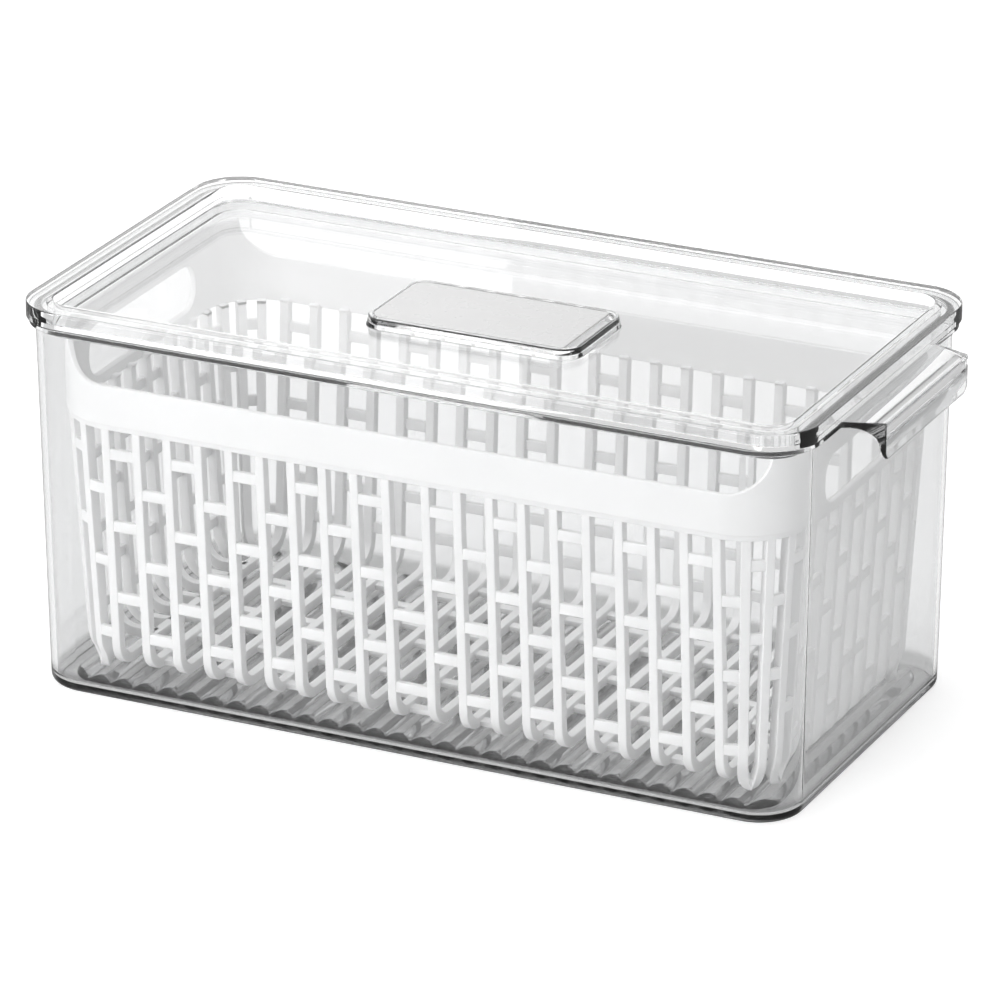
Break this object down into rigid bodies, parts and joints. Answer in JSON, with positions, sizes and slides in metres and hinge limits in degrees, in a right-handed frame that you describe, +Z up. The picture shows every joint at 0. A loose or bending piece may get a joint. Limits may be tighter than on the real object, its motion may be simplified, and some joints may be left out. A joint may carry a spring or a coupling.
{
  "type": "fridge bin",
  "caption": "Clear rectangular refrigerator bin with a carrying lip, a lift-off clear lid and a lift-out white slotted drain basket.",
  "frame": {"origin": "centre of the tub's flat underside", "axes": "+X along the long side towards the carrying lip, +Z up towards the lid"},
  "size_m": [0.3346, 0.169, 0.1543],
  "materials": {
    "clear_tub": "clear gloss",
    "clear_lid": "clear gloss",
    "label_white": "smooth white",
    "basket_white": "fine satin"
  },
  "bodies": {
    "tub": {"tub": "clear_tub"},
    "basket": {"basket_rim": "basket_white", "basket_front_grille": "basket_white", "basket_back_grille": "basket_white", "basket_left_grille": "basket_white", "basket_right_grille": "basket_white", "basket_front_left_corner": "basket_white", "basket_front_right_corner": "basket_white", "basket_back_left_corner": "basket_white", "basket_back_right_corner": "basket_white", "basket_floor": "basket_white"},
    "lid": {"lid": "clear_lid", "lid_label_plate": "label_white"}
  },
  "joints": [
    {"name": "basket_lift", "type": "slide", "parent": "tub", "child": "basket", "axis": [0, 0, 1], "range_m": [0, 0.16]},
    {"name": "lid_lift", "type": "slide", "parent": "basket", "child": "lid", "axis": [0, 0, 1], "range_m": [0, 0.12]}
  ]
}
